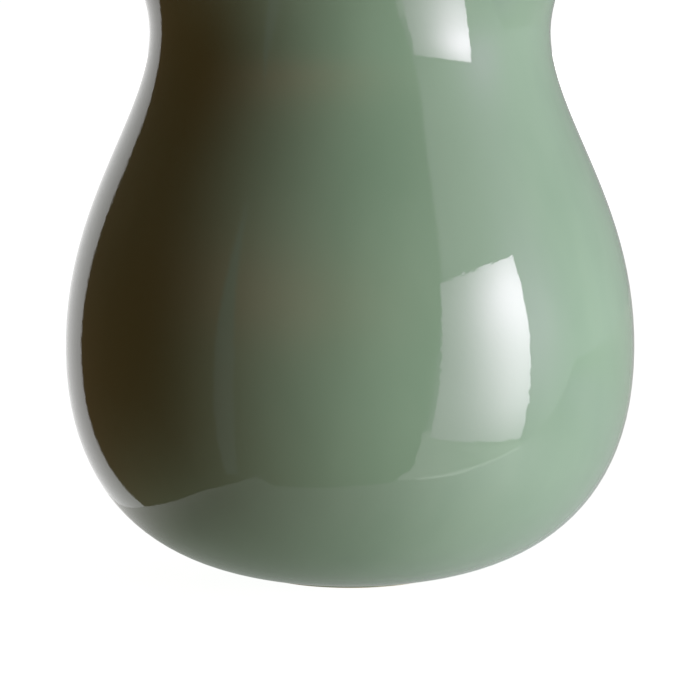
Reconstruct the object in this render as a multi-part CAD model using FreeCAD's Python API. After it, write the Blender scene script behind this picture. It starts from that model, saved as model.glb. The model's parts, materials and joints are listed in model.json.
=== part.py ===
import FreeCAD, Part

import math
import os

# Celadon meiping vase, thrown in sections that are luted together with slip
# and glazed inside and out. Millimetres. The vase stands on the plane z = 0,
# the Z axis is its axis, and the origin is the middle of its foot.

# Belly, waist and shoulder of the glazed outside: radius, rise from the
# feature below, and radius of curvature of the outline there, which is
# tighter above the waist than below it
belly_radius = 100.0
belly_height = 79.5
belly_curve_radius = 135.0
waist_radius = 69.8
waist_rise = 111.5
waist_curve_radius = 43.0
waist_upper_curve_radius = 31.0
shoulder_radius = 110.0
shoulder_rise = 119.0
shoulder_curve_radius = 88.0

# Dome, from the shoulder in to the root of the neck
dome_end_radius = 32.0
dome_rise = 71.0
dome_slope_degrees = 22.0
dome_handle = 34.0

# Neck and rolled lip
neck_radius = 25.0
neck_root_rise = 10.0
neck_length = 7.0
lip_fillet_radius = 5.0
lip_reach = 8.0
lip_bead_radius = 4.2
mouth_flare_depth = 9.0

# Underside, from the belly in to the foot
foot_radius = 35.0
foot_height = 0.9
underside_slope_degrees = 8.5
underside_handle = 27.0

# Foot ring, with its bare bearing edge
foot_ring_width = 7.0
foot_ring_height = 4.5
bearing_bevel = 0.4

# Floor inside the base bowl
floor_height = 9.6
floor_radius = 30.0
floor_handle = 38.0

# Clay wall, glaze skins, and the gap that the glaze keeps from the table
wall_thickness = 5.2
glaze_thickness = 0.8
glaze_stop_height = 0.4
glaze_edge_radius = 0.4

# Slip in the seams, and how far each stepped seam laps
slip_thickness = 0.4
belly_lap = 7.0
waist_lap = 6.0
shoulder_lap = 6.0
neck_lap = 3.5
rim_lap = 3.0

# Shares of the way to the corner, for the round curves of the neck root and
# of the mouth. A share of 0.55 makes a quarter ellipse.
root_handle_share = 0.6
mouth_handle_share = 0.55

# At the end of a cubic curve, the radius of curvature is this number times
# the handle squared, over the reach of the far handle from the end tangent
CUBIC_CURVATURE = 1.5

# Margin by which a seam's outline runs past the faces of the wall
overrun = 3.0

# Heights that follow from the rises
waist_height = belly_height + waist_rise
shoulder_height = waist_height + shoulder_rise
dome_end_height = shoulder_height + dome_rise
neck_root_height = dome_end_height + neck_root_rise
lip_fillet_height = neck_root_height + neck_length
lip_bead_centre_radius = neck_radius + lip_reach - lip_bead_radius
lip_bead_offset = lip_bead_centre_radius - neck_radius - lip_fillet_radius
lip_bead_rise = math.sqrt((lip_fillet_radius + lip_bead_radius) ** 2 - lip_bead_offset ** 2)
lip_bead_centre_height = lip_fillet_height + lip_bead_rise

# Depths below the glazed outside at which the clay starts and ends
clay_depth = glaze_thickness
lining_depth = glaze_thickness + wall_thickness
inside_depth = lining_depth + glaze_thickness


def at(radius, height):
    """Point of a section in the XZ plane."""
    return FreeCAD.Vector(radius, 0, height)


def line(start, end):
    """Straight edge of a section."""
    return Part.makeLine(start, end)


def cubic(start, start_handle, end_handle, end):
    """Cubic curve from start to end, by its two handles."""
    curve = Part.BezierCurve()
    curve.setPoles([start, start_handle, end_handle, end])
    return curve.toShape()


def arc(centre, radius, start_angle, end_angle):
    """Arc of a section about a centre, between two angles in radians."""
    def on_arc(angle):
        return at(centre.x + radius * math.cos(angle), centre.z + radius * math.sin(angle))
    middle = (start_angle + end_angle) / 2
    return Part.Arc(on_arc(start_angle), on_arc(middle), on_arc(end_angle)).toShape()


def polyline(points):
    """Straight edges through the points, in order."""
    return [line(a, b) for a, b in zip(points[:-1], points[1:])]


def handle(curve_radius, reach):
    """Length of the handle that gives a cubic this radius of curvature at its end."""
    return math.sqrt(curve_radius * abs(reach) / CUBIC_CURVATURE)


def swell(low, high, low_curve_radius, high_curve_radius):
    """Curve between two upright tangents, from a low point to a high one."""
    reach = high.x - low.x
    low_handle = at(low.x, low.z + handle(low_curve_radius, reach))
    high_handle = at(high.x, high.z - handle(high_curve_radius, reach))
    return cubic(low, low_handle, high_handle, high)


def bowl_curve(end, end_handle, depth):
    """Curve from an end near the axis out and up to the belly."""
    belly = at(belly_radius - depth, belly_height)
    drop = handle(belly_curve_radius - depth, belly.x - end_handle.x)
    return cubic(end, end_handle, at(belly.x, belly.z - drop), belly)


def underside_curve(depth):
    """Curve of the underside and the belly, from the foot up."""
    slope = math.radians(underside_slope_degrees)
    end = at(foot_radius - depth, foot_height + depth)
    run = underside_handle * math.cos(slope)
    rise = underside_handle * math.sin(slope)
    return bowl_curve(end, at(end.x + run, end.z + rise), depth)


def floor_curve(depth, height):
    """Curve of the floor and the belly inside the vase, from the flat floor up."""
    return bowl_curve(at(floor_radius, height), at(floor_radius + floor_handle, height), depth)


def wall_curves(depth):
    """Curves of the wall from the belly to the straight neck, at a depth in the wall."""
    belly = at(belly_radius - depth, belly_height)
    waist = at(waist_radius - depth, waist_height)
    shoulder = at(shoulder_radius - depth, shoulder_height)
    belly_curve = belly_curve_radius - depth
    waist_curve = waist_curve_radius + depth
    waist_upper_curve = waist_upper_curve_radius + depth
    shoulder_curve = shoulder_curve_radius - depth
    lower = swell(belly, waist, belly_curve, waist_curve)
    upper = swell(waist, shoulder, waist_upper_curve, shoulder_curve)
    return [lower, upper] + dome_curves(shoulder, shoulder_curve, depth)


def dome_curves(shoulder, shoulder_curve, depth):
    """Curves from the shoulder over the dome and up into the neck."""
    slope = math.radians(dome_slope_degrees)
    end = at(dome_end_radius - depth * math.sin(slope), dome_end_height - depth * math.cos(slope))
    end_handle = at(end.x + dome_handle * math.cos(slope), end.z - dome_handle * math.sin(slope))
    climb = handle(shoulder_curve, shoulder.x - end_handle.x)
    dome = cubic(shoulder, at(shoulder.x, shoulder.z + climb), end_handle, end)
    neck = at(neck_radius - depth, neck_root_height)
    corner = at(neck.x, end.z + (end.x - neck.x) * math.tan(slope))
    root = cubic(end, between(end, corner), between(neck, corner), neck)
    return [dome, root]


def between(start, corner):
    """Handle of the neck root, on the way from a start to the corner."""
    return start + (corner - start) * root_handle_share


def lip_curves(depth):
    """Outside of the straight neck and of the lip, up to its crown."""
    fillet_centre = at(neck_radius + lip_fillet_radius, lip_fillet_height)
    bead_centre = at(lip_bead_centre_radius, lip_bead_centre_height)
    turn = math.atan2(lip_bead_rise, lip_bead_offset)
    neck = line(at(neck_radius - depth, neck_root_height), at(neck_radius - depth, lip_fillet_height))
    fillet = arc(fillet_centre, lip_fillet_radius + depth, math.pi, turn)
    bead = arc(bead_centre, lip_bead_radius - depth, turn - math.pi, math.pi / 2)
    return [neck, fillet, bead]


def mouth_curves(depth, crown_depth):
    """Inside of the straight neck and of the mouth, up to the crown."""
    crown = at(lip_bead_centre_radius, lip_bead_centre_height + lip_bead_radius - crown_depth)
    bore = neck_radius - depth
    throat = at(bore, lip_bead_centre_height + lip_bead_radius - mouth_flare_depth)
    throat_handle = at(bore, throat.z + (crown.z - throat.z) * mouth_handle_share)
    crown_handle = at(crown.x - (crown.x - bore) * mouth_handle_share, crown.z)
    flare = cubic(throat, throat_handle, crown_handle, crown)
    return [line(at(bore, neck_root_height), throat), flare]


def outside(depth):
    """Outline of the outside from the foot to the crown, at a depth in the wall."""
    return [underside_curve(depth)] + wall_curves(depth) + lip_curves(depth)


def inside(depth, floor, crown_depth):
    """Outline of the inside from the flat floor to the crown."""
    return [floor_curve(depth, floor)] + wall_curves(depth) + mouth_curves(depth, crown_depth)


def face_of(edges):
    """Flat face bounded by edges that meet end to end."""
    return Part.Face(Part.Wire(Part.sortEdges(edges)[0]))


def turned(face):
    """Solid of a section turned about the vase's axis."""
    return face.revolve(FreeCAD.Vector(0, 0, 0), FreeCAD.Vector(0, 0, 1), 360)


def crown_point(depth):
    """Top of the lip at a depth below its glaze."""
    return at(lip_bead_centre_radius, lip_bead_centre_height + lip_bead_radius - depth)


def outer_glaze_section():
    """Skin from the foot up over the body to the crown of the lip."""
    skin_foot = at(foot_radius, foot_height)
    clay_foot = at(foot_radius - clay_depth, foot_height + clay_depth)
    stop = at(foot_radius - clay_depth, glaze_stop_height)
    edge_centre = at(foot_radius - glaze_edge_radius, glaze_stop_height + glaze_edge_radius)
    edge = arc(edge_centre, glaze_edge_radius, -math.pi / 2, 0)
    hem = [line(clay_foot, stop), line(stop, at(edge_centre.x, glaze_stop_height)), edge]
    wall = [line(at(foot_radius, edge_centre.z), skin_foot)]
    crown = [line(crown_point(0), crown_point(clay_depth))]
    return face_of(hem + wall + outside(0) + crown + outside(clay_depth))


def clay_section():
    """The whole clay body, before it is parted at its seams."""
    outer_foot = foot_radius - clay_depth
    inner_foot = outer_foot - foot_ring_width
    under = polyline([
        at(0, foot_ring_height),
        at(inner_foot, foot_ring_height),
        at(inner_foot, bearing_bevel),
        at(inner_foot + bearing_bevel, 0),
        at(outer_foot - bearing_bevel, 0),
        at(outer_foot, bearing_bevel),
        at(outer_foot, foot_height + clay_depth),
    ])
    axis = line(at(0, foot_ring_height), at(0, floor_height))
    floor = line(at(0, floor_height), at(floor_radius, floor_height))
    crown_wall = inside(lining_depth, floor_height, clay_depth)
    return face_of(under + outside(clay_depth) + crown_wall + [floor, axis])


def inner_glaze_section():
    """Lining from the floor up to the crown of the lip."""
    skin_floor = floor_height + glaze_thickness
    axis = line(at(0, floor_height), at(0, skin_floor))
    low_floor = line(at(0, floor_height), at(floor_radius, floor_height))
    top_floor = line(at(0, skin_floor), at(floor_radius, skin_floor))
    crown = line(crown_point(0), crown_point(clay_depth))
    clay_side = inside(lining_depth, floor_height, clay_depth)
    air_side = inside(inside_depth, skin_floor, 0)
    return face_of([axis, low_floor, top_floor, crown] + clay_side + air_side)


def base_glaze_section():
    """Glaze under the floor, with a skirt down the inside of the foot ring."""
    wall = foot_radius - clay_depth - foot_ring_width
    skin = wall - glaze_thickness
    under = foot_ring_height - glaze_thickness
    return face_of(polyline([
        at(0, foot_ring_height),
        at(wall, foot_ring_height),
        at(wall, glaze_stop_height),
        at(skin, glaze_stop_height),
        at(skin, under),
        at(0, under),
        at(0, foot_ring_height),
    ]))


def foot_seam():
    """Slip in the groove of the bowl that the foot ring is set into."""
    ring_outer = foot_radius - clay_depth
    ring_inner = ring_outer - foot_ring_width
    groove = ring_outer + slip_thickness
    top = foot_ring_height + slip_thickness
    return face_of(polyline([
        at(ring_inner, foot_ring_height),
        at(ring_outer, foot_ring_height),
        at(ring_outer, foot_height),
        at(groove, foot_height),
        at(groove, top),
        at(ring_inner, top),
        at(ring_inner, foot_ring_height),
    ]))


def stepped_seam(outer_radius, height, lap):
    """Slip between two sections whose ends are stepped and lap each other."""
    outer = outer_radius - clay_depth
    middle = outer - wall_thickness / 2
    past_outside = outer + overrun
    past_inside = outer - wall_thickness - overrun
    step = middle + slip_thickness
    return face_of(polyline([
        at(past_outside, height),
        at(past_outside, height + slip_thickness),
        at(step, height + slip_thickness),
        at(step, height + lap + slip_thickness),
        at(past_inside, height + lap + slip_thickness),
        at(past_inside, height + lap),
        at(middle, height + lap),
        at(middle, height),
        at(past_outside, height),
    ]))


def seams():
    """Slip outlines from the foot to the lip, each with its node's name."""
    return [
        ("foot_slip", foot_seam()),
        ("belly_slip", stepped_seam(belly_radius, belly_height, belly_lap)),
        ("waist_slip", stepped_seam(waist_radius, waist_height, waist_lap)),
        ("shoulder_slip", stepped_seam(shoulder_radius, shoulder_height, shoulder_lap)),
        ("neck_slip", stepped_seam(neck_radius, neck_root_height, neck_lap)),
        ("rim_slip", stepped_seam(neck_radius, lip_fillet_height, rim_lap)),
    ]


def clay_pieces(clay, seam_faces):
    """Clay sections that are left when the slip is cut out, from the foot up."""
    names = [
        "foot_ring",
        "base_bowl",
        "belly_section",
        "shoulder_section",
        "dome_section",
        "neck_section",
        "mouth_rim",
    ]
    parted = clay.cut(seam_faces).Faces
    parted.sort(key=lambda face: face.BoundBox.ZMin)
    if len(parted) != len(names):
        raise ValueError("the seams part the clay into %d pieces" % len(parted))
    return list(zip(names, parted))


def build():
    """Every piece of the vase, as node names with their solids."""
    clay = clay_section()
    slips = [(name, seam.common(clay).Faces[0]) for name, seam in seams()]
    sections = clay_pieces(clay, [face for name, face in slips]) + slips
    sections.append(("outer_glaze", outer_glaze_section()))
    sections.append(("inner_glaze", inner_glaze_section()))
    sections.append(("base_glaze", base_glaze_section()))
    return [(name, turned(face)) for name, face in sections]


os.makedirs("parts", exist_ok=True)
for node, shape in build():
    shape.exportStep("parts/" + node + ".step")
    print("%-18s volume %10.1f mm3, valid %s" % (node, shape.Volume, shape.isValid()))
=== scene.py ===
import json
import logging
import math
from dataclasses import dataclass
from enum import Enum

import bpy
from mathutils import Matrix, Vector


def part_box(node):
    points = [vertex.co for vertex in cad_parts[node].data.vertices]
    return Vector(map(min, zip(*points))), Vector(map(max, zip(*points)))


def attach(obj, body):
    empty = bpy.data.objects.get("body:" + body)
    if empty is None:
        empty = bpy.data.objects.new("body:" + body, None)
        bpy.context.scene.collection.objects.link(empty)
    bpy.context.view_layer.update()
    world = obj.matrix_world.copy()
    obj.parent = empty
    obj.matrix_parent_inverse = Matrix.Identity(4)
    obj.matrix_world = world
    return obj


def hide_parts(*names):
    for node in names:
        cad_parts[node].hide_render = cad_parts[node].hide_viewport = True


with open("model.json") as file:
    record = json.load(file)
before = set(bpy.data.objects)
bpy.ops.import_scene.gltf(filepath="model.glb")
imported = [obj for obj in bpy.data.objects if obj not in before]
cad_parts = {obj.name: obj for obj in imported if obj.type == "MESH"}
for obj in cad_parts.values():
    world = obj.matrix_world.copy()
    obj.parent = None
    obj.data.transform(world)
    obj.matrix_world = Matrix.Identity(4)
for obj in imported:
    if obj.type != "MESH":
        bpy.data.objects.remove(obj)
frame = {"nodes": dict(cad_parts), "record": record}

LOG = logging.getLogger("celadon_vase")

Point = tuple[float, float]
Segment = tuple[Point, Point, Point, Point]
Colour = tuple[float, float, float]
Place = tuple[float, float, float]
Wire = bpy.types.NodeSocket
Value = Wire | float | Colour

BODY = "root"
CUBIC_CURVATURE = 1.5
MERGE_DISTANCE = 1e-6
SMOOTH_ANGLE = math.radians(40)
WHITE: Colour = (1.0, 1.0, 1.0)


class Slot(Enum):
    """Material slots of the record."""

    CLAY = "porcelain"
    SLIP = "slip"
    CELADON = "celadon_glaze"
    LINING = "lining_glaze"


class Noise(Enum):
    """Kinds of noise, by their detail and roughness."""

    CLOUDS = (3.0, 0.55)
    WAVES = (1.0, 0.4)
    WANDER = (2.0, 0.5)
    GRAIN = (3.0, 0.7)


def linear(level: int) -> float:
    """Linear share of one sRGB level in 0 to 255."""
    share = level / 255
    return share / 12.92 if share <= 0.04045 else ((share + 0.055) / 1.055) ** 2.4


def srgb(red: int, green: int, blue: int) -> Colour:
    """Linear colour of an sRGB colour given in 0 to 255."""
    return linear(red), linear(green), linear(blue)


def at_height(outline: tuple[Point, ...], height: float) -> tuple[Place, ...]:
    """Corners of a level shape at a height."""
    return tuple((*corner, height) for corner in outline)


def deselect_all() -> None:
    """Leave nothing selected, so that the next operator acts on its own piece alone."""
    if bpy.context.object and bpy.context.object.mode != "OBJECT":
        bpy.ops.object.mode_set(mode="OBJECT")
    bpy.ops.object.select_all(action="DESELECT")


def straight(start: Point, end: Point) -> Segment:
    """Straight cubic segment between two points."""
    across, up = (end[0] - start[0]) / 3, (end[1] - start[1]) / 3
    return start, (start[0] + across, start[1] + up), (end[0] - across, end[1] - up), end


def round_segments(centre: Point, radius: float, start: float, end: float, count: int) -> list[Segment]:
    """Arc about a centre as cubic segments.

    Args:
        centre: Radius and height of the arc's centre.
        radius: Radius of the arc.
        start: Angle in radians at which the arc starts.
        end: Angle in radians at which the arc ends.
        count: Number of cubic segments.

    Returns:
        The segments, in order from the start.
    """
    turn = (end - start) / count
    reach = radius * math.tan(turn / 4) * 4 / 3

    def on_arc(angle: float, along: float) -> Point:
        """Point of the arc, moved along its tangent."""
        return (centre[0] + radius * math.cos(angle) - along * math.sin(angle),
                centre[1] + radius * math.sin(angle) + along * math.cos(angle))
    angles = [start + turn * step for step in range(count + 1)]
    return [(on_arc(a, 0), on_arc(a, reach), on_arc(b, -reach), on_arc(b, 0))
            for a, b in zip(angles[:-1], angles[1:])]


def curve_handle(curve_radius: float, reach: float) -> float:
    """Length of the handle that gives a cubic this radius of curvature at its end."""
    return math.sqrt(curve_radius * abs(reach) / CUBIC_CURVATURE)


@dataclass(frozen=True)
class VaseOutline:
    """Outline of the vase in radius and height, in metres, at any depth in its wall.

    The heights of the seams and of the crown come from the frame, so the
    outline stays on the construction's solids.
    """

    belly_radius: float = 0.100
    belly_curve_radius: float = 0.135
    waist_radius: float = 0.0698
    waist_curve_radius: float = 0.043
    waist_upper_curve_radius: float = 0.031
    shoulder_radius: float = 0.110
    shoulder_curve_radius: float = 0.088
    dome_end_radius: float = 0.032
    dome_handle: float = 0.034
    dome_slope: float = math.radians(22)
    neck_radius: float = 0.025
    neck_root_rise: float = 0.010
    root_handle_share: float = 0.6
    lip_fillet_radius: float = 0.005
    lip_reach: float = 0.008
    lip_bead_radius: float = 0.0042
    mouth_flare_depth: float = 0.009
    mouth_handle_share: float = 0.55
    foot_radius: float = 0.035
    foot_height: float = 0.0009
    underside_slope: float = math.radians(8.5)
    underside_handle: float = 0.027
    floor_radius: float = 0.030
    floor_handle: float = 0.038
    glaze: float = 0.0008
    wall: float = 0.0052

    @staticmethod
    def seam_height(slip: str) -> float:
        """Height of a seam, from the lowest point of its slip."""
        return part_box(slip)[0].z

    @property
    def bead_centre(self) -> Point:
        """Centre of the rolled lip's round edge."""
        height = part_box("outer_glaze")[1].z - self.lip_bead_radius
        return self.neck_radius + self.lip_reach - self.lip_bead_radius, height

    @property
    def inside_depth(self) -> float:
        """Depth of the glazed inside below the glazed outside."""
        return self.glaze + self.wall + self.glaze

    def belly(self, depth: float) -> Point:
        """Widest point of the belly."""
        return self.belly_radius - depth, self.seam_height("belly_slip")

    def crown(self, depth: float) -> Point:
        """Highest point of the lip."""
        centre = self.bead_centre
        return centre[0], centre[1] + self.lip_bead_radius - depth

    def rim(self) -> Segment:
        """Thickness of the glaze at the crown of the lip, from its outside inwards."""
        return straight(self.crown(0), self.crown(self.glaze))

    def underside(self, depth: float) -> Segment:
        """Curve from the foot out and up to the belly.

        Args:
            depth: Depth below the glazed outside.

        Returns:
            The segment, from the foot upwards.
        """
        end = (self.foot_radius - depth, self.foot_height + depth)
        run = self.underside_handle * math.cos(self.underside_slope)
        rise = self.underside_handle * math.sin(self.underside_slope)
        return self._bowl(end, (end[0] + run, end[1] + rise), depth)

    def _bowl(self, end: Point, end_handle: Point, depth: float) -> Segment:
        """Curve from an end near the axis up to the belly.

        Args:
            end: Where the curve starts.
            end_handle: Handle of the curve at its start.
            depth: Depth below the glazed outside.

        Returns:
            The segment, from its end near the axis upwards.
        """
        belly = self.belly(depth)
        drop = curve_handle(self.belly_curve_radius - depth, belly[0] - end_handle[0])
        return end, end_handle, (belly[0], belly[1] - drop), belly

    @staticmethod
    def _swell(low: Point, high: Point, low_curve: float, high_curve: float) -> Segment:
        """Curve between two upright tangents, with a radius of curvature at each end."""
        reach = high[0] - low[0]
        return (low, (low[0], low[1] + curve_handle(low_curve, reach)),
                (high[0], high[1] - curve_handle(high_curve, reach)), high)

    def wall_segments(self, depth: float) -> list[Segment]:
        """Curves of the wall from the belly to the straight neck.

        Args:
            depth: Depth below the glazed outside.

        Returns:
            The segments, from the belly upwards.
        """
        waist = (self.waist_radius - depth, self.seam_height("waist_slip"))
        shoulder = (self.shoulder_radius - depth, self.seam_height("shoulder_slip"))
        shoulder_curve = self.shoulder_curve_radius - depth
        lower = self._swell(self.belly(depth), waist,
                            self.belly_curve_radius - depth, self.waist_curve_radius + depth)
        upper = self._swell(waist, shoulder, self.waist_upper_curve_radius + depth, shoulder_curve)
        return [lower, upper] + self._dome(shoulder, shoulder_curve, depth)

    def _dome(self, shoulder: Point, shoulder_curve: float, depth: float) -> list[Segment]:
        """Curves over the dome and up into the neck.

        Args:
            shoulder: Widest point of the shoulder.
            shoulder_curve: Radius of curvature there.
            depth: Depth below the glazed outside.

        Returns:
            The segment over the dome, and the one that turns up into the neck.
        """
        neck_height = self.seam_height("neck_slip")
        along, across = math.cos(self.dome_slope), math.sin(self.dome_slope)
        end = (self.dome_end_radius - depth * across,
               neck_height - self.neck_root_rise - depth * along)
        end_handle = (end[0] + self.dome_handle * along, end[1] - self.dome_handle * across)
        climb = curve_handle(shoulder_curve, shoulder[0] - end_handle[0])
        neck = (self.neck_radius - depth, neck_height)
        corner = (neck[0], end[1] + (end[0] - neck[0]) * math.tan(self.dome_slope))

        def toward_corner(start: Point) -> Point:
            """Handle on the way from a start to the corner."""
            share = self.root_handle_share
            return start[0] + (corner[0] - start[0]) * share, start[1] + (corner[1] - start[1]) * share
        dome = (shoulder, (shoulder[0], shoulder[1] + climb), end_handle, end)
        return [dome, (end, toward_corner(end), toward_corner(neck), neck)]

    def lip(self, depth: float) -> list[Segment]:
        """Outside of the straight neck and of the lip, up to its crown.

        Args:
            depth: Depth below the glazed outside.

        Returns:
            The segments, from the neck upwards.
        """
        fillet_height = self.seam_height("rim_slip")
        bead = self.bead_centre
        fillet = (self.neck_radius + self.lip_fillet_radius, fillet_height)
        turn = math.atan2(bead[1] - fillet[1], bead[0] - fillet[0])
        neck = straight((self.neck_radius - depth, self.seam_height("neck_slip")),
                        (self.neck_radius - depth, fillet_height))
        hollow = round_segments(fillet, self.lip_fillet_radius + depth, math.pi, turn, 1)
        edge = round_segments(bead, self.lip_bead_radius - depth, turn - math.pi, math.pi / 2, 2)
        return [neck] + hollow + edge

    def mouth(self, depth: float, crown_depth: float) -> list[Segment]:
        """Inside of the straight neck and of the mouth, up to the crown.

        Args:
            depth: Depth below the glazed outside.
            crown_depth: Depth below the top of the lip.

        Returns:
            The segments, from the neck upwards.
        """
        bore = self.neck_radius - depth
        crown = self.crown(crown_depth)
        throat = (bore, self.crown(0)[1] - self.mouth_flare_depth)
        rise = (bore, throat[1] + (crown[1] - throat[1]) * self.mouth_handle_share)
        reach = (crown[0] - (crown[0] - bore) * self.mouth_handle_share, crown[1])
        return [straight((bore, self.seam_height("neck_slip")), throat), (throat, rise, reach, crown)]

    def outside(self, depth: float) -> list[Segment]:
        """Outline of the outside from the foot to the crown."""
        return [self.underside(depth)] + self.wall_segments(depth) + self.lip(depth)

    def inside(self, depth: float, floor: float, crown_depth: float) -> list[Segment]:
        """Outline of the inside from the axis to the crown.

        Args:
            depth: Depth of the wall's inside below the glazed outside.
            floor: Height of the flat floor.
            crown_depth: Depth below the top of the lip.

        Returns:
            The segments, from the middle of the floor to the crown.
        """
        edge = (self.floor_radius, floor)
        bowl = self._bowl(edge, (edge[0] + self.floor_handle, floor), depth)
        return [straight((0, floor), edge), bowl] + self.wall_segments(depth) + self.mouth(depth, crown_depth)


@dataclass(frozen=True)
class Stroke:
    """Run of cubic segments drawn with one number of steps for each segment."""

    segments: list[Segment]
    steps: int


class Lathe:
    """Draws section outlines as curves and turns them about the vase's axis."""

    def __init__(self, around: int) -> None:
        """Set how many steps a full turn has."""
        self.around = around

    @staticmethod
    def _draw(stroke: Stroke) -> bpy.types.Object:
        """Draw one stroke as a curve in the XZ plane.

        Args:
            stroke: The stroke.

        Returns:
            The curve, made a chain of edges.
        """
        bpy.ops.curve.primitive_bezier_curve_add(location=(0, 0, 0))
        curve = bpy.context.object
        curve.data.dimensions = "3D"
        curve.data.resolution_u = stroke.steps
        spline = curve.data.splines[0]
        spline.bezier_points.add(len(stroke.segments) - 1)
        for knot in spline.bezier_points:
            knot.handle_left_type = knot.handle_right_type = "FREE"
        for index, (start, start_handle, end_handle, end) in enumerate(stroke.segments):
            first, second = spline.bezier_points[index], spline.bezier_points[index + 1]
            first.co, second.co = (start[0], 0, start[1]), (end[0], 0, end[1])
            first.handle_right = (start_handle[0], 0, start_handle[1])
            second.handle_left = (end_handle[0], 0, end_handle[1])
        spline.bezier_points[0].handle_left = spline.bezier_points[0].co
        spline.bezier_points[-1].handle_right = spline.bezier_points[-1].co
        bpy.ops.object.convert(target="MESH")
        return bpy.context.object

    def turn(self, name: str, strokes: list[Stroke]) -> bpy.types.Object:
        """Turn a closed section, or one closed by the axis, into a solid piece.

        Args:
            name: Name of the new piece.
            strokes: Strokes that meet end to end and bound the section.

        Returns:
            The piece, closed, with its faces pointing outwards.
        """
        deselect_all()
        chains = []
        for stroke in strokes:
            chains.append(self._draw(stroke))
            deselect_all()
        for chain in chains:
            chain.select_set(True)
        bpy.context.view_layer.objects.active = chains[0]
        if len(chains) > 1:
            bpy.ops.object.join()
        piece = bpy.context.object
        piece.name = piece.data.name = name
        bpy.ops.object.mode_set(mode="EDIT")
        bpy.ops.mesh.select_all(action="SELECT")
        bpy.ops.mesh.remove_doubles(threshold=MERGE_DISTANCE)
        bpy.ops.mesh.spin(steps=self.around, angle=math.tau, center=(0, 0, 0), axis=(0, 0, 1))
        bpy.ops.mesh.select_all(action="SELECT")
        bpy.ops.mesh.remove_doubles(threshold=MERGE_DISTANCE)
        bpy.ops.mesh.normals_make_consistent(inside=False)
        bpy.ops.object.mode_set(mode="OBJECT")
        bpy.ops.object.shade_smooth_by_angle(angle=SMOOTH_ANGLE)
        return piece


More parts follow.
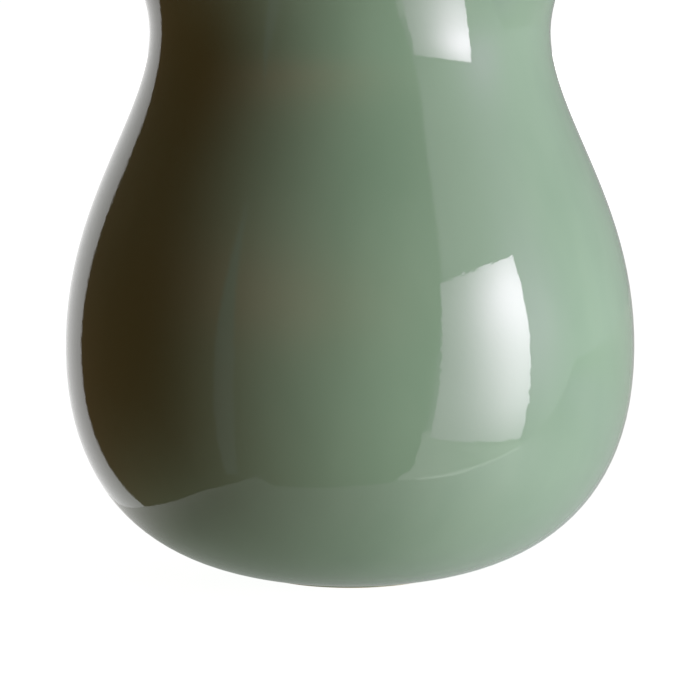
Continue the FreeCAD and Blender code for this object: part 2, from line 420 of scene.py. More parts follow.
class NodeBench:
    """Short ways to place and join nodes in a material, a world or a group."""

    def __init__(self, tree: bpy.types.NodeTree) -> None:
        """Work on one node tree."""
        self.tree = tree

    def feed(self, target: Wire, value: Value) -> None:
        """Join an output to an input, or give the input a value of its own.

        Args:
            target: The input.
            value: An output, a number, or a vector or colour of three numbers.
        """
        if isinstance(value, Wire):
            self.tree.links.new(value, target)
        elif target.type == "RGBA":
            target.default_value = (*value, 1.0)
        else:
            target.default_value = value

    def place(self, kind: str, inputs: dict[int | str, Value], **settings: object) -> bpy.types.Node:
        """Place a node.

        Args:
            kind: Kind of the node.
            inputs: What its inputs get, by their names or numbers.
            settings: Values of its properties.

        Returns:
            The new node.
        """
        node = self.tree.nodes.new(kind)
        for name, value in settings.items():
            setattr(node, name, value)
        for label, value in inputs.items():
            self.feed(node.inputs[label], value)
        return node

    def coordinates(self, kind: str) -> Wire:
        """Texture coordinates of a kind."""
        return self.place("ShaderNodeTexCoord", {}).outputs[kind]

    def ray(self, kind: str) -> Wire:
        """Number that is 1 for rays of a kind and 0 for others."""
        return self.place("ShaderNodeLightPath", {}).outputs[kind]

    def effect(self, group: bpy.types.NodeTree, where: Wire, **values: float) -> Wire:
        """Output of a shared effect that is placed with its own values."""
        return self.place("ShaderNodeGroup", {"Vector": where, **values}, node_tree=group).outputs[0]

    def math(self, operation: str, first: Value, second: Value = 0.0) -> Wire:
        """Result of a Math node."""
        return self.place("ShaderNodeMath", {0: first, 1: second}, operation=operation).outputs[0]

    def plus(self, first: Value, second: Value) -> Wire:
        """Sum of two numbers."""
        return self.math("ADD", first, second)

    def minus(self, first: Value, second: Value) -> Wire:
        """Difference of two numbers."""
        return self.math("SUBTRACT", first, second)

    def times(self, first: Value, second: Value) -> Wire:
        """Product of two numbers."""
        return self.math("MULTIPLY", first, second)

    def step(self, value: Value, low: Value, high: Value) -> Wire:
        """Smooth rise from 0 at low to 1 at high."""
        inputs = {"Value": value, "From Min": low, "From Max": high}
        return self.place("ShaderNodeMapRange", inputs, interpolation_type="SMOOTHSTEP").outputs["Result"]

    def blend(self, share: Value, first: Value, second: Value) -> Wire:
        """Colour between two colours."""
        return self.place("ShaderNodeMix", {0: share, 6: first, 7: second}, data_type="RGBA").outputs[2]

    def add_colours(self, first: Value, second: Value) -> Wire:
        """Sum of two colours."""
        return self.place("ShaderNodeVectorMath", {0: first, 1: second}, operation="ADD").outputs[0]

    def scale_colour(self, colour: Value, share: Value) -> Wire:
        """Colour made brighter or darker by a share."""
        inputs = {0: colour, "Scale": share}
        return self.place("ShaderNodeVectorMath", inputs, operation="SCALE").outputs[0]

    def vector(self, x: Value, y: Value, z: Value) -> Wire:
        """Vector of three numbers."""
        return self.place("ShaderNodeCombineXYZ", {0: x, 1: y, 2: z}).outputs[0]

    def grey(self, value: Value) -> Wire:
        """Grey of a level that may be above white."""
        return self.vector(value, value, value)

    def parts(self, vector: Value) -> list[Wire]:
        """X, Y and Z of a vector."""
        return list(self.place("ShaderNodeSeparateXYZ", {0: vector}).outputs)

    def noise(self, where: Wire, scale: Value, kind: Noise) -> Wire:
        """Noise of a kind and a scale."""
        inputs = {"Vector": where, "Scale": scale, "Detail": kind.value[0], "Roughness": kind.value[1]}
        return self.place("ShaderNodeTexNoise", inputs).outputs["Fac"]

    def relief(self, height: Wire, depth: float) -> Wire:
        """Normal of a surface that rises and falls by this depth."""
        return self.place("ShaderNodeBump", {"Height": height, "Distance": depth}).outputs[0]

    def glow(self, colour: Value, strength: Value) -> Wire:
        """Light that a surface gives off."""
        return self.place("ShaderNodeEmission", {"Color": colour, "Strength": strength}).outputs[0]

    def paint(self, grey: float, glow: Wire) -> Wire:
        """Matt grey paint with a glow added."""
        matt = self.place("ShaderNodeBsdfDiffuse", {"Color": (grey, grey, grey)}).outputs[0]
        return self.place("ShaderNodeAddShader", {0: matt, 1: glow}).outputs[0]

    def finish(self, surface: Wire, kind: str = "ShaderNodeOutputMaterial") -> None:
        """Join a shader to the output."""
        self.place(kind, {"Surface": surface})


def new_material(name: str) -> tuple[bpy.types.Material, NodeBench]:
    """Start a material.

    Args:
        name: Name of the material.

    Returns:
        The material, still without nodes, and the bench to build it on.
    """
    material = bpy.data.materials.new(name)
    material.use_nodes = True
    material.node_tree.nodes.clear()
    return material, NodeBench(material.node_tree)


class SurfaceEffects:
    """Effects that more than one material uses, each a node group that is built once."""

    def __init__(self) -> None:
        """Build every effect."""
        self.depth = self._glaze_depth()
        self.ripple = self._fired_ripple()
        self.specks = self._fine_specks()
        self.rings = self._turning_rings()

    @staticmethod
    def _start(name: str, inputs: dict[str, float], output: str) -> tuple[NodeBench, dict[str, Wire]]:
        """Start a group with a vector input, number inputs and one number output.

        Args:
            name: Name of the group.
            inputs: Usual values of the number inputs, by name.
            output: Name of the output.

        Returns:
            The bench of the group, and its inputs by name.
        """
        group = bpy.data.node_groups.new(name, "ShaderNodeTree")
        group.interface.new_socket(name="Vector", in_out="INPUT", socket_type="NodeSocketVector")
        for label, value in inputs.items():
            socket = group.interface.new_socket(name=label, in_out="INPUT", socket_type="NodeSocketFloat")
            socket.default_value = value
        group.interface.new_socket(name=output, in_out="OUTPUT", socket_type="NodeSocketFloat")
        bench = NodeBench(group)
        entry = bench.place("NodeGroupInput", {})
        return bench, {label: entry.outputs[label] for label in ("Vector", *inputs)}

    @staticmethod
    def _end(bench: NodeBench, result: Wire) -> bpy.types.NodeTree:
        """Finished group, with its result joined to its output."""
        bench.place("NodeGroupOutput", {0: result})
        return bench.tree

    def _glaze_depth(self) -> bpy.types.NodeTree:
        """Slow changes of a glaze's thickness, as runs and clouds.

        Returns:
            The group.
        """
        bench, given = self._start("glaze_depth", {"Scale": 25.0, "Stretch": 0.4}, "Depth")
        x, y, z = bench.parts(given["Vector"])
        squeezed = bench.vector(x, y, bench.times(z, given["Stretch"]))
        return self._end(bench, bench.noise(squeezed, given["Scale"], Noise.CLOUDS))

    def _fired_ripple(self) -> bpy.types.NodeTree:
        """Height of the orange peel and the softer waves of a melted surface.

        Returns:
            The group.
        """
        inputs = {"Peel Scale": 480.0, "Wave Scale": 60.0, "Wave": 0.3}
        bench, given = self._start("fired_ripple", inputs, "Height")
        peel = bench.noise(given["Vector"], given["Peel Scale"], Noise.WAVES)
        wave = bench.noise(given["Vector"], given["Wave Scale"], Noise.WAVES)
        return self._end(bench, bench.plus(peel, bench.times(wave, given["Wave"])))

    def _fine_specks(self) -> bpy.types.NodeTree:
        """Mask of scattered round specks of uneven size.

        Returns:
            The group.
        """
        inputs = {"Scale": 90.0, "Size": 0.03, "Share": 0.35}
        bench, given = self._start("fine_specks", inputs, "Mask")
        around = {"Vector": given["Vector"], "Scale": given["Scale"]}
        cells = bench.place("ShaderNodeTexVoronoi", around, feature="F1").outputs
        lot = bench.place("ShaderNodeSeparateColor", {0: cells["Color"]}).outputs
        inside = bench.math("LESS_THAN", cells["Distance"], bench.times(lot[0], given["Size"]))
        chosen = bench.math("LESS_THAN", lot[1], given["Share"])
        return self._end(bench, bench.times(inside, chosen))

    def _turning_rings(self) -> bpy.types.NodeTree:
        """Height of the rings that fingers or a turning tool leave round the axis.

        Returns:
            The group.
        """
        inputs = {"Pitch": 0.004, "Wander": 0.35, "Wander Scale": 30.0}
        bench, given = self._start("turning_rings", inputs, "Height")
        x, y, z = bench.parts(given["Vector"])
        radius = bench.math("SQRT", bench.plus(bench.times(x, x), bench.times(y, y)))
        along = bench.math("DIVIDE", bench.plus(z, radius), given["Pitch"])
        stray = bench.noise(given["Vector"], given["Wander Scale"], Noise.WANDER)
        turns = bench.plus(along, bench.times(stray, given["Wander"]))
        return self._end(bench, bench.math("SINE", bench.times(turns, math.tau)))


@dataclass(frozen=True)
class Clouds:
    """Soft clouds in a finish, between two levels of the glaze's depth."""

    scale: float
    low: float
    high: float
    stretch: float = 1.0

    def mask(self, bench: NodeBench, effects: SurfaceEffects, where: Wire) -> Wire:
        """Mask of the clouds."""
        depth = bench.effect(effects.depth, where, Scale=self.scale, Stretch=self.stretch)
        return bench.step(depth, self.low, self.high)


@dataclass(frozen=True)
class Specks:
    """Dark specks in a finish."""

    scale: float
    size: float
    amount: float
    strength: float
    colour: Colour

    def over(self, bench: NodeBench, effects: SurfaceEffects, where: Wire, colour: Wire) -> Wire:
        """Colour of the finish with the specks in it."""
        mask = bench.effect(effects.specks, where, Scale=self.scale, Size=self.size, Share=self.amount)
        return bench.blend(bench.times(mask, self.strength), colour, self.colour)


@dataclass(frozen=True)
class Celadon:
    """Glossy grey-green glaze, deeper where it pools and paler where it runs thin."""

    name: str
    colour: Colour
    deep: Colour
    thin: Colour
    crown_height: float
    pool_heights: tuple[float, ...] = ()
    roughness: float = 0.025
    smears: Clouds = Clouds(scale=60.0, low=0.55, high=0.8)
    smear_roughness: float = 0.03
    clouds: Clouds = Clouds(scale=22.0, low=0.35, high=0.75, stretch=0.45)
    cloud_share: float = 0.5
    pool_reach: float = 0.009
    pool_share: float = 0.6
    thin_reach: float = 0.0035
    thin_share: float = 0.75
    specks: Specks = Specks(scale=75.0, size=0.028, amount=0.16, strength=0.55, colour=srgb(92, 84, 62))
    peel_height: float = 0.000017
    refraction: float = 1.5

    def _run(self, bench: NodeBench, height: Wire, cloud: Wire) -> Wire:
        """Colour of the glaze over its clouds, its pools and its thin crown.

        Args:
            bench: Bench of the material.
            height: Height on the vase.
            cloud: Mask of the clouds.

        Returns:
            The colour.
        """
        colour = bench.blend(bench.times(cloud, self.cloud_share), self.colour, self.deep)
        for pool in self.pool_heights:
            off = bench.math("ABSOLUTE", bench.minus(height, pool))
            near = bench.minus(1.0, bench.step(off, 0.0, self.pool_reach))
            colour = bench.blend(bench.times(near, self.pool_share), colour, self.deep)
        crown = bench.step(height, self.crown_height - self.thin_reach, self.crown_height)
        return bench.blend(bench.times(crown, self.thin_share), colour, self.thin)

    def build(self, effects: SurfaceEffects) -> bpy.types.Material:
        """Make the material.

        Args:
            effects: The shared effects.

        Returns:
            The new material.
        """
        material, bench = new_material(self.name)
        where = bench.coordinates("Object")
        colour = self._run(bench, bench.parts(where)[2], self.clouds.mask(bench, effects, where))
        smears = bench.times(self.smears.mask(bench, effects, where), self.smear_roughness)
        shader = bench.place("ShaderNodeBsdfPrincipled", {
            "Base Color": self.specks.over(bench, effects, where, colour),
            "Roughness": bench.plus(self.roughness, smears),
            "Normal": bench.relief(bench.effect(effects.ripple, where), self.peel_height),
            "IOR": self.refraction,
        })
        bench.finish(shader.outputs[0])
        return material


@dataclass(frozen=True)
class BareClay:
    """Fired clay without glaze, with grain, specks and turning rings."""

    name: str
    colour: Colour
    warm: Colour
    clouds: Clouds = Clouds(scale=60.0, low=0.3, high=0.8)
    specks: Specks = Specks(scale=400.0, size=0.12, amount=0.2, strength=0.5, colour=srgb(120, 96, 70))
    roughness: float = 0.75
    grain_roughness: float = 0.15
    grain_scale: float = 1800.0
    grain_share: float = 0.6
    ring_pitch: float = 0.0021
    ring_height: float = 0.00003

    def build(self, effects: SurfaceEffects) -> bpy.types.Material:
        """Make the material.

        Args:
            effects: The shared effects.

        Returns:
            The new material.
        """
        material, bench = new_material(self.name)
        where = bench.coordinates("Object")
        colour = bench.blend(self.clouds.mask(bench, effects, where), self.colour, self.warm)
        grain = bench.noise(where, self.grain_scale, Noise.GRAIN)
        rings = bench.effect(effects.rings, where, Pitch=self.ring_pitch)
        height = bench.plus(rings, bench.times(grain, self.grain_share))
        shader = bench.place("ShaderNodeBsdfPrincipled", {
            "Base Color": self.specks.over(bench, effects, where, colour),
            "Roughness": bench.plus(self.roughness, bench.times(grain, self.grain_roughness)),
            "Normal": bench.relief(height, self.ring_height),
        })
        bench.finish(shader.outputs[0])
        return material


def dress(piece: bpy.types.Object, material: bpy.types.Material) -> None:
    """Give a piece one material all over."""
    piece.data.materials.clear()
    piece.data.materials.append(material)


def settle(piece: bpy.types.Object, node: str, material: bpy.types.Material) -> None:
    """Dress a piece, let it ride on the body and let it stand for its node.

    Args:
        piece: The finished piece.
        node: Node that it stands for.
        material: Its material.
    """
    dress(piece, material)
    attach(piece, BODY)
    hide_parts(node)
    LOG.info("%s: %d faces, stands for %s", piece.name, len(piece.data.polygons), node)


@dataclass
class GlazedSkin:
    """The celadon skin outside and the lining inside."""

    outline: VaseOutline
    around: int = 192
    fine_steps: int = 26
    coarse_steps: int = 8
    roll_steps: int = 6
    side_steps: int = 2
    hem_height: float = 0.0004
    hem_radius: float = 0.0004
    waver: float = 0.00016
    waver_size: float = 0.055
    waver_fade: float = 0.030

    def outer(self) -> bpy.types.Object:
        """Build the outside skin, from its rolled hem over the foot to the crown.

        Returns:
            The skin.
        """
        shape = self.outline
        inner_foot = shape.foot_radius - shape.glaze
        hem_centre = (shape.foot_radius - self.hem_radius, self.hem_height + self.hem_radius)
        clay_foot = (inner_foot, shape.foot_height + shape.glaze)
        hem = [straight(clay_foot, (inner_foot, self.hem_height)),
               straight((inner_foot, self.hem_height), (hem_centre[0], self.hem_height))]
        roll = round_segments(hem_centre, self.hem_radius, -math.pi / 2, 0, 1)
        side = straight((shape.foot_radius, hem_centre[1]), (shape.foot_radius, shape.foot_height))
        piece = Lathe(self.around).turn("celadon_skin", [
            Stroke(shape.outside(0), self.fine_steps),
            Stroke([shape.rim()], 1),
            Stroke(shape.outside(shape.glaze), self.coarse_steps),
            Stroke(hem, 1),
            Stroke(roll, self.roll_steps),
            Stroke([side], self.side_steps),
        ])
        self._waver(piece)
        return piece

    def _waver(self, piece: bpy.types.Object) -> None:
        """Let the thrown wall waver a little inwards, as hands leave it.

        Args:
            piece: The outside skin.
        """
        shape = self.outline
        top = shape.seam_height("neck_slip") - shape.neck_root_rise
        group = piece.vertex_groups.new(name="thrown_wall")
        for vertex in piece.data.vertices:
            below = min(1.0, max(0.0, (top - vertex.co.z) / self.waver_fade))
            above = min(1.0, max(0.0, (vertex.co.z - shape.foot_height) / self.waver_fade))
            group.add([vertex.index], below * above, "REPLACE")
        clouds = bpy.data.textures.new("hand_waver", "CLOUDS")
        clouds.noise_scale = self.waver_size
        clouds.noise_depth = 0
        waver = piece.modifiers.new("waver", "DISPLACE")
        waver.texture = clouds
        waver.texture_coords = "LOCAL"
        waver.vertex_group = group.name
        waver.mid_level = 1.0
        waver.strength = self.waver
        deselect_all()
        piece.select_set(True)
        bpy.context.view_layer.objects.active = piece
        bpy.ops.object.modifier_apply(modifier=waver.name)

    def lining(self) -> bpy.types.Object:
        """Build the lining, from the middle of the floor to the crown.

        Returns:
            The lining.
        """
        shape = self.outline
        clay_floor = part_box("inner_glaze")[0].z
        air_side = shape.inside(shape.inside_depth, clay_floor + shape.glaze, 0)
        clay_side = shape.inside(shape.glaze + shape.wall, clay_floor, shape.glaze)
        return Lathe(self.around).turn("celadon_lining", [
            Stroke(air_side, self.fine_steps),
            Stroke([shape.rim()], 1),
            Stroke(clay_side, self.coarse_steps),
        ])


@dataclass
class FootPieces:
    """The bare foot ring and the glaze under the floor."""

    outline: VaseOutline
    around: int = 160
    side_steps: int = 3
    round_steps: int = 6
    groove_steps: int = 5
    wall_steps: int = 4
    meniscus_steps: int = 10
    under_steps: int = 8
    ring_width: float = 0.007
    bevel: float = 0.0004
    groove_reach: float = 0.0010
    groove_depth: float = 0.00025
    hem_height: float = 0.0004
    meniscus: float = 0.0022

    def _groove(self, middle: float) -> list[Segment]:
        """Turned groove in the bearing face, from its outer edge to its inner edge.

        Args:
            middle: Radius of the groove's deepest line.

        Returns:
            The two halves of its round section.
        """
        def half(side: int) -> Segment:
            """Half of the section on one side, from its edge to its deepest line."""
            edge, bend = middle + side * self.groove_reach, middle + side * self.groove_reach / 2
            return (edge, 0), (bend, 0), (bend, self.groove_depth), (middle, self.groove_depth)
        return [half(1), half(-1)[::-1]]

    def ring(self) -> bpy.types.Object:
        """Build the foot ring, with a worn bearing edge and one fine turned groove.

        Returns:
            The ring.
        """
        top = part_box("foot_ring")[1].z
        outer = self.outline.foot_radius - self.outline.glaze
        inner = outer - self.ring_width
        middle = (outer + inner) / 2
        corner = self.bevel
        bead = round_segments((outer - corner, corner), corner, 0, -math.pi / 2, 1)
        heel = round_segments((inner + corner, corner), corner, -math.pi / 2, -math.pi, 1)
        outer_face = straight((outer - corner, 0), (middle + self.groove_reach, 0))
        inner_face = straight((middle - self.groove_reach, 0), (inner + corner, 0))
        back = [straight((inner, corner), (inner, top)), straight((inner, top), (outer, top))]
        return Lathe(self.around).turn("bare_foot", [
            Stroke([straight((outer, top), (outer, corner))], self.side_steps),
            Stroke(bead, self.round_steps),
            Stroke([outer_face, *self._groove(middle), inner_face], self.groove_steps),
            Stroke(heel, self.round_steps),
            Stroke(back, self.side_steps),
        ])

    def base(self) -> bpy.types.Object:
        """Build the glaze under the floor, with its meniscus against the foot ring.

        Returns:
            The glaze.
        """
        shape = self.outline
        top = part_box("base_glaze")[1].z
        wall = shape.foot_radius - shape.glaze - self.ring_width
        skin = wall - shape.glaze
        under = top - shape.glaze
        corner = (skin, under)
        hem = ((wall, self.hem_height), (wall - shape.glaze / 2, self.hem_height),
               (skin, self.hem_height + shape.glaze / 4), (skin, under - self.meniscus))
        meniscus = ((skin, under - self.meniscus), corner, corner, (skin - self.meniscus, under))
        clay_side = [straight((0, top), (wall, top)), straight((wall, top), (wall, self.hem_height))]
        return Lathe(self.around).turn("base_celadon", [
            Stroke(clay_side, self.wall_steps),
            Stroke([hem], self.round_steps),
            Stroke([meniscus], self.meniscus_steps),
            Stroke([straight((skin - self.meniscus, under), (0, under))], self.under_steps),
        ])


def aim(distance: float, elevation: float, azimuth: float, target_height: float) -> dict[str, Place]:
    """Place from which a camera or a lamp faces the vase's axis.

    Args:
        distance: Distance from the point that it faces.
        elevation: Its angle above the level of that point.
        azimuth: Its angle from the camera's side towards the right.
        target_height: Height of the point that it faces.

    Returns:
        The location and the rotation.
    """
    flat = distance * math.cos(elevation)
    height = target_height + distance * math.sin(elevation)
    return {"location": (flat * math.sin(azimuth), -flat * math.cos(azimuth), height),
            "rotation": (math.pi / 2 - elevation, 0, azimuth)}


@dataclass(frozen=True)
class PhotoCamera:
    """Camera at the photograph's viewing angle, for a square image."""

    elevation: float = math.radians(9)
    distance: float = 1.5836
    target_height: float = 0.0783
    sensor_width: float = 36.0
    focal_pixels: float = 4500.0
    image_pixels: float = 700.0
    clip_end: float = 50.0

    def place(self) -> None:
        """Add the camera and make it the scene's own."""
        bpy.ops.object.camera_add(**aim(self.distance, self.elevation, 0, self.target_height))
        camera = bpy.context.object
        camera.data.sensor_width = self.sensor_width
        camera.data.lens = self.sensor_width * self.focal_pixels / self.image_pixels
        camera.data.clip_end = self.clip_end
        bpy.context.scene.camera = camera


@dataclass(frozen=True)
class WideLamp:
    """Wide soft lamp that the glaze doesn't mirror, turned from the camera's side towards the right."""

    name: str
    power: float
    azimuth: float
    tint: Colour
    elevation: float = math.radians(1)
    distance: float = 2.0
    size: float = 0.8
    target_height: float = 0.15

    def place(self) -> None:
        """Hang the lamp, facing the vase."""
        deselect_all()
        spot = aim(self.distance, self.elevation, self.azimuth, self.target_height)
        bpy.ops.object.light_add(type="AREA", **spot)
        lamp = bpy.context.object
        lamp.name = self.name
        lamp.data.size = self.size
        lamp.data.energy = self.power
        lamp.data.color = self.tint
        lamp.visible_glossy = False


def level(bench: NodeBench, soft: float, mirrored: float) -> Wire:
    """Level of a light: one for its soft light, and one where a glossy surface mirrors it."""
    return bench.plus(soft, bench.times(bench.ray("Is Glossy Ray"), mirrored - soft))


@dataclass(frozen=True)
class HotSpot:
    """Bright spot that falls off to all sides, as where a lamp shines through a card."""

    across: float
    up: float
    wide: float
    tall: float
    glow: float = 1.0
    tint: Colour = WHITE

    def shine(self, bench: NodeBench, across: Wire, up: Wire) -> Wire:
        """Glow of the spot.

        Args:
            bench: Bench of the surface that shines.
            across: Place from left to right.
            up: Place upwards.

        Returns:
            The glow at that place, without the tint.
        """
        far = []
        for value, middle, reach in ((across, self.across, self.wide), (up, self.up, self.tall)):
            off = bench.math("DIVIDE", bench.minus(value, middle), reach)
            far.append(bench.times(off, off))
        fall = bench.times(bench.plus(far[0], far[1]), -0.5)
        return bench.times(bench.math("EXPONENT", fall), self.glow)


def far_spot(across: float, up: float, wide: float, tall: float, tint: Colour) -> HotSpot:
    """Spot of the surroundings, given in degrees as seen from the vase."""
    return HotSpot(*(math.radians(angle) for angle in (across, up, wide, tall)), tint=tint)


def add_spots(bench: NodeBench, under: Value, spots: tuple[HotSpot, ...], across: Wire, up: Wire) -> Wire:
    """Colour with tinted spots added, which only the glaze mirrors.

    Args:
        bench: Bench of the surface that shines.
        under: Colour without the spots.
        spots: The spots.
        across: Place from left to right.
        up: Place upwards.

    Returns:
        The colour with the spots.
    """
    glossy = bench.ray("Is Glossy Ray")
    for spot in spots:
        shine = bench.times(glossy, spot.shine(bench, across, up))
        under = bench.add_colours(under, bench.scale_colour(spot.tint, shine))
    return under


@dataclass(frozen=True)
class Card:
    """Glowing card of the studio, by its lower left, lower right, upper left and upper right corners."""

    name: str
    corners: tuple[Place, Place, Place, Place]
    tint: Colour
    even_glow: float
    spots: tuple[HotSpot, ...]
    soft_share: float

    def _material(self) -> bpy.types.Material:
        """Even glow with the hot spots of the lamps behind the card.

        Returns:
            The new material.
        """
        material, bench = new_material(self.name)
        across, up, _ = bench.parts(bench.coordinates("UV"))
        shine = self.even_glow
        for spot in self.spots:
            shine = bench.plus(shine, spot.shine(bench, across, up))
        tint = bench.blend(bench.ray("Is Glossy Ray"), WHITE, self.tint)
        bench.finish(bench.glow(tint, bench.times(shine, level(bench, self.soft_share, 1.0))))
        return material

    def place(self) -> None:
        """Stand the card on the stage, unseen by the camera."""
        deselect_all()
        bpy.ops.mesh.primitive_plane_add(size=1, location=(0, 0, 0))
        card = bpy.context.object
        card.name = card.data.name = self.name
        for vertex in card.data.vertices:
            vertex.co = self.corners[2 * int(vertex.co.y > 0) + int(vertex.co.x > 0)]
        card.visible_camera = False
        card.visible_shadow = False
        dress(card, self._material())


@dataclass(frozen=True)
class Surroundings:
    """What the glaze mirrors all round: a dim warm room, a white screen and a white backdrop.

    Azimuths turn from the camera's side towards the right, and elevations
    rise from the horizon, both as seen from the vase.
    """

    room_below: Colour = (0.116, 0.065, 0.032)
    room_above: Colour = (0.060, 0.026, 0.008)
    room_turn: float = math.radians(50)
    room_mirror: float = 1.15
    mirror_gain: float = 1.8
    screen_glow: Colour = (0.545, 0.550, 0.572)
    screen_edge: float = math.radians(34.8)
    screen_lean_above: float = 0.24
    screen_lean_below: float = 0.16
    screen_fade: Point = (math.radians(95), math.radians(165))
    screen_far_glow: Colour = (0.22, 0.22, 0.22)
    screen_patch_glow: float = 0.10
    screen_patch: Point = (math.radians(42), math.radians(62))
    screen_patch_rise: Point = (math.radians(19), math.radians(25))
    backdrop_glow: float = 0.62
    backdrop_edge: float = math.radians(-138)
    soft_edge: float = math.radians(1.2)
    ember: HotSpot = far_spot(-20, 17, 30, 10, tint=(0.50, 0.06, 0.03))
    foliage: HotSpot = far_spot(16, 5, 24, 60, tint=(0.25, 0.58, 0.37))
    halo: HotSpot = far_spot(79, 4, 11, 14, tint=(1.35, 0.70, 1.60))

    def _screen(self, bench: NodeBench, azimuth: Wire, elevation: Wire) -> tuple[Wire, Wire]:
        """Lay out the right-hand screen.

        Args:
            bench: Bench of the world.
            azimuth: Direction round the vase.
            elevation: Direction above the horizon.

        Returns:
            Where the screen is, and how it glows.
        """
        above = bench.times(bench.math("MAXIMUM", elevation, 0.0), self.screen_lean_above)
        below = bench.times(bench.math("MINIMUM", elevation, 0.0), self.screen_lean_below)
        edge = bench.plus(self.screen_edge, bench.plus(above, below))
        where = bench.step(azimuth, bench.minus(edge, self.soft_edge), bench.plus(edge, self.soft_edge))
        grey = bench.blend(bench.step(azimuth, *self.screen_fade), self.screen_glow, self.screen_far_glow)
        patch = bench.times(bench.minus(1.0, bench.step(azimuth, *self.screen_patch)),
                            bench.step(elevation, *self.screen_patch_rise))
        return where, bench.add_colours(grey, bench.grey(bench.times(patch, self.screen_patch_glow)))

    def build(self) -> None:
        """Make the world: plain white for the camera, and the surroundings for the glaze."""
        world = bpy.data.worlds.new("studio")
        bpy.context.scene.world = world
        world.use_nodes = True
        world.node_tree.nodes.clear()
        bench = NodeBench(world.node_tree)
        x, y, z = bench.parts(bench.coordinates("Generated"))
        azimuth = bench.math("ARCTAN2", x, bench.times(y, -1.0))
        elevation = bench.math("ARCSINE", z)
        height = bench.step(elevation, -self.room_turn, self.room_turn)
        dim = bench.blend(height, self.room_below, self.room_above)
        dim = bench.scale_colour(dim, level(bench, 1.0, self.room_mirror))
        dim = add_spots(bench, dim, (self.ember, self.foliage), azimuth, elevation)
        where, grey = self._screen(bench, azimuth, elevation)
        gain = level(bench, 1.0, self.mirror_gain)
        room = bench.blend(where, dim, bench.scale_colour(grey, gain))
        room = add_spots(bench, room, (self.halo,), azimuth, elevation)
        left_edge, right_edge = self.backdrop_edge - self.soft_edge, self.backdrop_edge + self.soft_edge
        backdrop = bench.grey(bench.times(gain, self.backdrop_glow))
        room = bench.blend(bench.step(azimuth, right_edge, left_edge), room, backdrop)
        seen = bench.blend(bench.ray("Is Camera Ray"), room, WHITE)
        sky = bench.place("ShaderNodeBackground", {"Color": seen})
        bench.finish(sky.outputs[0], "ShaderNodeOutputWorld")


def lay_flat(name: str, corners: tuple[Place, ...]) -> bpy.types.Object:
    """Lay a flat piece of the stage through its corners, unseen by the camera and without shadow.

    Args:
        name: Name of the piece.
        corners: Corners in order round the piece, in metres.

    Returns:
        The new piece.
    """
    deselect_all()
    bpy.ops.mesh.primitive_circle_add(vertices=len(corners), radius=1, fill_type="NGON")
    piece = bpy.context.object
    piece.name = piece.data.name = name
    for vertex, corner in zip(piece.data.vertices, corners):
        vertex.co = corner
    piece.visible_camera = False
    piece.visible_shadow = False
    return piece


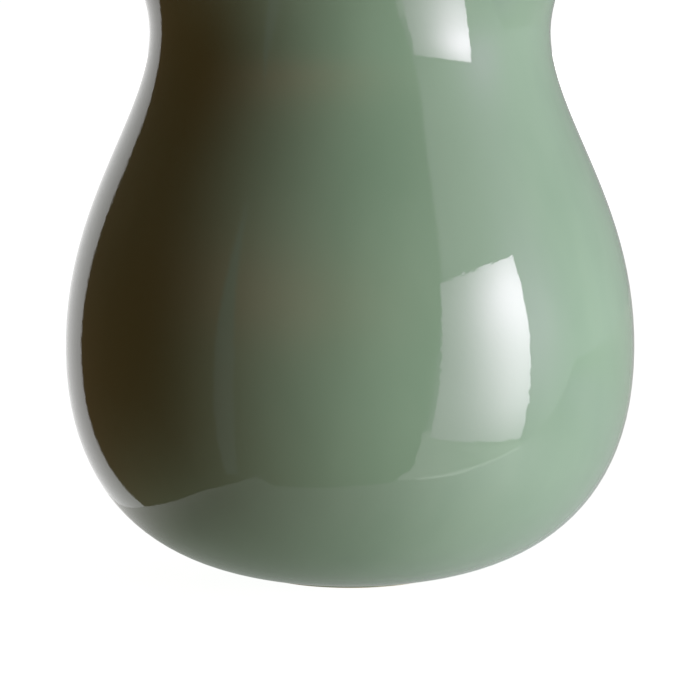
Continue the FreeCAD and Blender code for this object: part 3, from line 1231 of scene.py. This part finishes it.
@dataclass(frozen=True)
class Studio:
    """Pale floor, the table under the vase, and the lights."""

    floor_size: float = 8.0
    floor_white: float = 0.955
    floor_paint: float = 0.35
    table_paint: float = 0.8
    # Painted light: the table's glow stands in for the light on it, with a band painted brighter at the left
    # and more glow far to the right.
    table_glow: Colour = (0.22, 0.215, 0.19)
    table_mirror: float = 0.275
    painted_left_band_level: float = 0.64
    painted_left_band: Point = (-0.068, -0.125)
    far_mirror: float = 0.12
    far: Point = (0.30, 0.88)
    table_drop: float = 0.0004
    lamps: tuple[WideLamp, ...] = (
        WideLamp("front_lamp", power=25.3, azimuth=math.radians(54), tint=(1.0, 0.965, 0.88)),
        WideLamp("back_lamp", power=11.0, azimuth=math.radians(180), tint=(1.0, 0.97, 0.92), size=0.5),
    )
    gap_glow: float = 1.9
    edge_glow: float = 3.0
    low_sheet_glow: float = 1.65
    low_sheet_height: float = -0.15
    wedge_glow: float = 0.26
    table_outline: tuple[Point, ...] = (
        (-0.112, 0.90), (-0.101, -0.021), (-0.093, -0.085), (-0.073, -0.133), (-0.065, -0.129),
        (-0.055, -0.126), (-0.035, -0.132), (-0.004, -0.138), (0.041, -0.141), (0.083, -0.130),
        (0.118, -0.121), (0.168, -0.105), (0.90, 0.10), (0.90, 0.90),
    )
    gap_outline: tuple[Place, ...] = (
        (0.166, -0.217, -0.033), (0.238, -0.123, -0.034), (0.142, -0.135, -0.018),
    )
    edge_outline: tuple[Point, ...] = (
        (0.052, -0.1385), (0.083, -0.1305), (0.118, -0.1215), (0.168, -0.1055),
        (0.168, -0.1020), (0.118, -0.1175), (0.083, -0.1265), (0.052, -0.1360),
    )
    low_sheet_outline: tuple[Point, ...] = (
        (0.286, -0.548), (0.246, -0.484), (0.212, -0.422), (0.198, -0.406), (0.152, -0.329),
        (0.131, -0.311), (0.101, -0.293), (0.100, -0.270), (0.180, -0.250), (0.270, -0.220),
        (0.370, -0.180), (0.450, -0.140), (0.500, -0.185), (0.500, -0.450),
    )
    wedge_outline: tuple[Place, ...] = (
        (-0.1341, -0.1534, 0.234), (-0.1345, -0.1530, 0.191), (-0.1355, -0.1522, 0.137),
        (-0.1358, -0.1520, 0.085), (-0.1380, -0.1501, 0.031), (-0.1448, -0.1444, -0.046),
        (-0.1313, -0.1557, -0.045), (-0.1196, -0.1656, 0.033), (-0.1178, -0.1671, 0.087),
        (-0.1218, -0.1637, 0.139), (-0.1283, -0.1583, 0.192),
    )
    # Painted pools of light on the table, which only the glaze mirrors.
    table_spots: tuple[HotSpot, ...] = (
        HotSpot(across=0.130, up=-0.125, wide=0.060, tall=0.055, glow=1.5, tint=(1.0, 0.97, 1.08)),
        HotSpot(across=0.42, up=0.0, wide=0.16, tall=0.10, tint=(0.22, 0.04, 0.34)),
    )
    soft_light: Card = Card(
        "soft_light",
        corners=((0.1413, -0.2678, -0.032), (0.303, -0.139, -0.054),
                 (0.1601, -0.2528, 0.1905), (0.303, -0.139, 0.216)),
        tint=(1.0, 0.87, 1.03),
        even_glow=2.35,
        spots=(HotSpot(across=0.86, up=0.80, wide=0.36, tall=0.22, glow=12.4),
               HotSpot(across=0.82, up=0.34, wide=0.36, tall=0.22, glow=5.8)),
        soft_share=0.24,
    )

    def _floor(self) -> None:
        """Lay the white floor that the camera sees and that keeps the vase's shadow."""
        deselect_all()
        bpy.ops.mesh.primitive_plane_add(size=self.floor_size, location=(0, 0, 0))
        floor = bpy.context.object
        floor.name = "pale_floor"
        floor.visible_glossy = False
        floor.visible_diffuse = False
        material, bench = new_material("pale_floor")
        bench.finish(bench.paint(self.floor_paint, bench.glow(WHITE, self.floor_white)))
        dress(floor, material)

    def _table(self) -> None:
        """Lay the flat white table top that the glaze mirrors; its glow is painted light, brighter at the
        left and far to the right, with painted pools of light.
        """
        material, bench = new_material("mirrored_table")
        x, y, _ = bench.parts(bench.coordinates("Object"))
        # Painted light: the glow is brighter in a band at the left and far to the right.
        painted_left_band = bench.times(bench.step(x, *self.painted_left_band), self.painted_left_band_level)
        far = bench.times(bench.step(x, *self.far), self.far_mirror)
        mirrored = bench.grey(bench.plus(bench.plus(self.table_mirror, painted_left_band), far))
        even = bench.blend(bench.ray("Is Glossy Ray"), self.table_glow, mirrored)
        # Painted pools of light, which only the glaze mirrors.
        glow = bench.glow(add_spots(bench, even, self.table_spots, x, y), 1.0)
        bench.finish(bench.paint(self.table_paint, glow))
        dress(lay_flat("mirrored_table", at_height(self.table_outline, -self.table_drop)), material)

    @staticmethod
    def _mirrored(name: str, corners: tuple[Place, ...], glow: float) -> None:
        """Hang a flat grey shape that only the glaze mirrors.

        Args:
            name: Name of the shape.
            corners: Corners in order round the shape, in metres.
            glow: Level at which the glaze mirrors it.
        """
        shape = lay_flat(name, corners)
        shape.visible_diffuse = False
        material, bench = new_material(name)
        bench.finish(bench.glow(WHITE, glow))
        dress(shape, material)

    def build(self) -> None:
        """Set up the stage, the lights and the plain view transform."""
        bpy.context.scene.view_settings.view_transform = "Standard"
        self._floor()
        self._table()
        low_sheet = at_height(self.low_sheet_outline, self.low_sheet_height)
        self._mirrored("low_sheet", low_sheet, self.low_sheet_glow)
        self._mirrored("table_edge", at_height(self.edge_outline, -self.table_drop / 2), self.edge_glow)
        self._mirrored("pale_gap", self.gap_outline, self.gap_glow)
        self._mirrored("pale_wedge", self.wedge_outline, self.wedge_glow)
        for lamp in self.lamps:
            lamp.place()
        self.soft_light.place()
        Surroundings().build()


def dress_construction(clay: bpy.types.Material, slip: bpy.types.Material) -> None:
    """Dress the clay sections and the slip that the glaze covers.

    Args:
        clay: Material of the bare clay.
        slip: Material of the fired slip.
    """
    slots = {part["node"]: Slot(part["material_slot"]) for part in frame["record"]["subparts"]}
    finishes = {Slot.CLAY: clay, Slot.SLIP: slip}
    for name, node in frame["nodes"].items():
        if slots[name] in finishes:
            dress(node, finishes[slots[name]])
            LOG.info("%s: dressed as %s", name, slots[name].value)


def main() -> None:
    """Build and dress the vase, then set up the studio and the camera."""
    logging.basicConfig(level=logging.INFO, format="%(name)s %(message)s")
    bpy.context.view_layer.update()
    outline = VaseOutline()
    effects = SurfaceEffects()
    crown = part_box("outer_glaze")[1].z
    pools = (VaseOutline.seam_height("neck_slip") - outline.neck_root_rise / 2, outline.foot_height)
    green = Celadon("celadon_glaze", srgb(146, 174, 153), srgb(131, 161, 139), srgb(196, 200, 176),
                    crown_height=crown, pool_heights=pools).build(effects)
    pale = Celadon("lining_glaze", srgb(160, 180, 160), srgb(140, 165, 144), srgb(196, 200, 176),
                   crown_height=crown, roughness=0.12).build(effects)
    clay = BareClay("bare_porcelain", srgb(222, 214, 200), srgb(206, 184, 156)).build(effects)
    slip = BareClay("fired_slip", srgb(214, 205, 190), srgb(200, 182, 160),
                    ring_height=0.00001).build(effects)
    skin = GlazedSkin(outline)
    settle(skin.outer(), "outer_glaze", green)
    settle(skin.lining(), "inner_glaze", pale)
    foot = FootPieces(outline)
    settle(foot.ring(), "foot_ring", clay)
    settle(foot.base(), "base_glaze", green)
    dress_construction(clay, slip)
    Studio().build()
    PhotoCamera().place()


if __name__ == "__main__":
    main()
